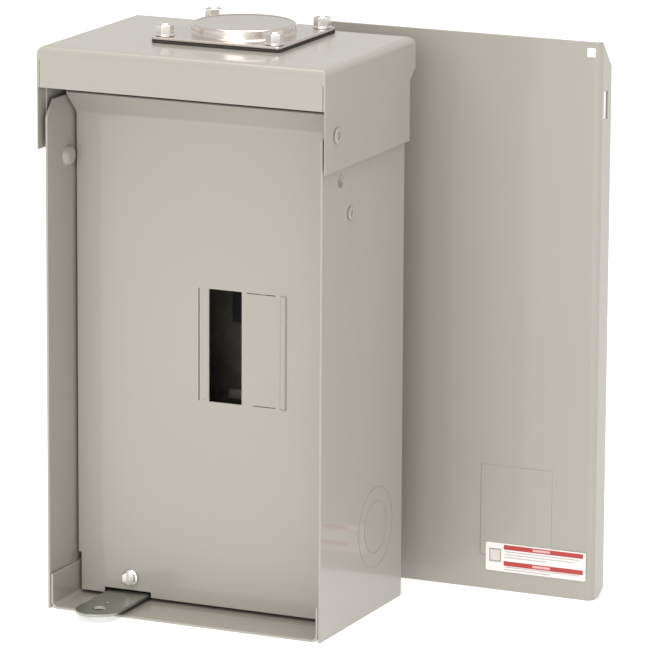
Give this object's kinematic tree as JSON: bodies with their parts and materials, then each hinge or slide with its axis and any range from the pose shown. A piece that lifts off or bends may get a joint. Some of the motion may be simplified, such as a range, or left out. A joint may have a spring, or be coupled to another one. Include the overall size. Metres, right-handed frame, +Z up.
{
  "type": "residential load center",
  "caption": "Small outdoor steel load center with a rain hood, hub closure, deadfront with breaker window, hasp, bus interior and its lift-off door standing beside it.",
  "frame": {"origin": "centre of the enclosure tub's underside, on the surface that the box and its door stand on", "axes": "+Z up, -Y the enclosure's open front, +X to the right seen from the front; the loose door stands behind and to the right"},
  "size_m": [0.2625, 0.1711, 0.3141],
  "materials": {
    "grey_paint": "semi-gloss powder coat, warm light grey",
    "bright_zinc": "bright zinc plate",
    "galvanised_steel": "mill galvanised",
    "plated_aluminium": "tin plated, satin",
    "moulded_insulator": "moulded, matt",
    "gasket_rubber": "matt",
    "green_screw": "green dyed plate",
    "label_face": "coated label"
  },
  "bodies": {
    "enclosure": {"enclosure_tub": "grey_paint", "bottom_pan": "grey_paint", "rain_cap": "grey_paint", "hood_rivet_left": "grey_paint", "hood_rivet_right": "grey_paint", "stop_rivet_left": "grey_paint", "stop_rivet_right": "grey_paint", "hub_closure_plate": "bright_zinc", "hub_bolt_1": "bright_zinc", "hub_bolt_2": "bright_zinc", "hub_bolt_3": "bright_zinc", "hub_bolt_4": "bright_zinc", "padlock_hasp": "bright_zinc", "screw_bracket": "bright_zinc", "bracket_rivet_1": "bright_zinc", "bracket_rivet_2": "bright_zinc", "deadfront_stop_left": "bright_zinc", "deadfront_stop_right": "bright_zinc", "pan_screw_1": "bright_zinc", "pan_screw_2": "bright_zinc", "pan_screw_3": "bright_zinc", "pan_screw_4": "bright_zinc", "line_lug_screw_a": "bright_zinc", "line_lug_screw_b": "bright_zinc", "neutral_lug_screw": "bright_zinc", "neutral_screw_1": "bright_zinc", "neutral_screw_2": "bright_zinc", "neutral_screw_3": "bright_zinc", "neutral_screw_4": "bright_zinc", "neutral_screw_5": "bright_zinc", "neutral_screw_6": "bright_zinc", "interior_pan": "galvanised_steel", "breaker_rail": "galvanised_steel", "bus_bar_a": "plated_aluminium", "bus_bar_b": "plated_aluminium", "line_lug_a": "plated_aluminium", "line_lug_b": "plated_aluminium", "neutral_bar": "plated_aluminium", "neutral_lug": "plated_aluminium", "bus_insulator": "moulded_insulator", "neutral_standoff_lower": "moulded_insulator", "neutral_standoff_upper": "moulded_insulator", "hub_gasket": "gasket_rubber", "bonding_screw": "green_screw"},
    "deadfront": {"deadfront": "grey_paint"},
    "deadfront_screw": {"deadfront_screw": "bright_zinc"},
    "door": {"door_panel": "grey_paint", "door_label": "label_face"}
  },
  "joints": [
    {"name": "deadfront_swing", "type": "hinge", "parent": "enclosure", "child": "deadfront", "pos_m": [0, -0.0225, 0.2426], "axis": [-1, 0, 0], "range_deg": [0, 25]},
    {"name": "deadfront_screw_turn", "type": "hinge", "parent": "deadfront", "child": "deadfront_screw", "pos_m": [-0.0461, -0.0225, 0.0134], "axis": [0, 1, 0], "continuous": true},
    {"name": "door_lift", "type": "slide", "parent": "enclosure", "child": "door", "axis": [0, 0, 1], "range_m": [0, 0.32]}
  ]
}
